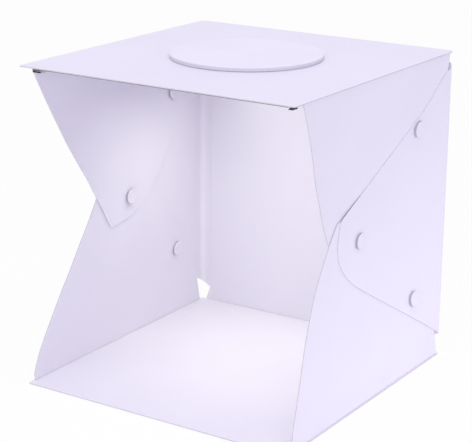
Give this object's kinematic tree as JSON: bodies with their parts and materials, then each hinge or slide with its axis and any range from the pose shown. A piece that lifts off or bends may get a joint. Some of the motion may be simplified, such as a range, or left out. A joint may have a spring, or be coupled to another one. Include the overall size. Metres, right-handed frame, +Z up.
{
  "type": "folding light tent",
  "caption": "White folding light tent for small-object photography: open front, flap sides held by magnetic buttons, camera opening with a cover in the roof, LED strip inside.",
  "frame": {"origin": "middle of the floor panel's underside, on the surface the tent stands on", "axes": "+Z up, -Y towards the open front, +X to the right of someone who faces the opening from the front"},
  "size_m": [0.226, 0.23, 0.2433],
  "materials": {
    "sheet": "satin white translucent sheet",
    "cover": "satin white moulded plastic",
    "button": "glossy white moulded plastic",
    "magnet": "nickel-plated",
    "tape": "foam tape",
    "board": "white solder mask",
    "socket": "stamped steel",
    "black_plastic": "moulded black",
    "led_gel": "yellow phosphor gel",
    "gold": "gold-plated",
    "solder": "tinned copper"
  },
  "bodies": {
    "floor": {"floor_panel": "sheet"},
    "back": {"back_panel": "sheet"},
    "roof": {"roof_panel": "sheet", "led_strip_tape": "tape", "led_board": "board", "led_strip_end_clip": "black_plastic", "usb_socket_shell": "socket", "usb_socket_tongue": "black_plastic"},
    "cover": {"opening_cover": "cover"},
    "upper_flap_left": {"upper_flap_left": "sheet", "flap_button_upper_left": "button", "flap_button_upper_left_magnet": "magnet", "flap_button_front_left": "button", "flap_button_front_left_magnet": "magnet"},
    "upper_flap_right": {"upper_flap_right": "sheet", "flap_button_upper_right": "button", "flap_button_upper_right_magnet": "magnet", "flap_button_front_right": "button", "flap_button_front_right_magnet": "magnet"},
    "lower_flap_left": {"lower_flap_left": "sheet", "flap_button_lower_left": "button", "flap_button_lower_left_magnet": "magnet"},
    "lower_flap_right": {"lower_flap_right": "sheet", "flap_button_lower_right": "button", "flap_button_lower_right_magnet": "magnet"},
    "gusset_left": {"rear_gusset_left": "sheet", "gusset_button_upper_left": "button", "gusset_button_upper_left_magnet": "magnet", "gusset_button_front_left": "button", "gusset_button_front_left_magnet": "magnet", "gusset_button_lower_left": "button", "gusset_button_lower_left_magnet": "magnet"},
    "gusset_right": {"rear_gusset_right": "sheet", "gusset_button_upper_right": "button", "gusset_button_upper_right_magnet": "magnet", "gusset_button_front_right": "button", "gusset_button_front_right_magnet": "magnet", "gusset_button_lower_right": "button", "gusset_button_lower_right_magnet": "magnet"}
  },
  "joints": [
    {"name": "back_fold", "type": "hinge", "parent": "floor", "child": "back", "pos_m": [0, 0.1146, 0.0015], "axis": [-1, 0, 0], "range_deg": [0, 60]},
    {"name": "roof_fold", "type": "hinge", "parent": "back", "child": "roof", "pos_m": [0, 0.1146, 0.2396], "axis": [-1, 0, 0], "range_deg": [0, 90]},
    {"name": "cover_lift", "type": "slide", "parent": "roof", "child": "cover", "axis": [0, 0, 1], "range_m": [0, 0.03]},
    {"name": "upper_flap_fold_left", "type": "hinge", "parent": "roof", "child": "upper_flap_left", "pos_m": [-0.11, 0, 0.2385], "axis": [0, -1, 0], "range_deg": [0, 80]},
    {"name": "upper_flap_fold_right", "type": "hinge", "parent": "roof", "child": "upper_flap_right", "pos_m": [0.11, 0, 0.2385], "axis": [0, 1, 0], "range_deg": [0, 68]},
    {"name": "lower_flap_fold_left", "type": "hinge", "parent": "floor", "child": "lower_flap_left", "pos_m": [-0.1113, 0, 0.0015], "axis": [0, 1, 0], "range_deg": [0, 56]},
    {"name": "lower_flap_fold_right", "type": "hinge", "parent": "floor", "child": "lower_flap_right", "pos_m": [0.1113, 0, 0.0015], "axis": [0, -1, 0], "range_deg": [0, 47.6]},
    {"name": "gusset_swing_left", "type": "hinge", "parent": "back", "child": "gusset_left", "pos_m": [-0.1047, 0.1146, 0.12], "axis": [0, 0, -1], "range_deg": [0, 60]},
    {"name": "gusset_swing_right", "type": "hinge", "parent": "back", "child": "gusset_right", "pos_m": [0.1047, 0.1146, 0.12], "axis": [0, 0, 1], "range_deg": [0, 60]}
  ],
  "couplings": [
    {"joint": "lower_flap_fold_left", "follows": "upper_flap_fold_left", "ratio": 0.7},
    {"joint": "lower_flap_fold_right", "follows": "upper_flap_fold_right", "ratio": 0.7},
    {"joint": "gusset_swing_left", "follows": "back_fold", "ratio": 1},
    {"joint": "gusset_swing_right", "follows": "back_fold", "ratio": 1}
  ]
}
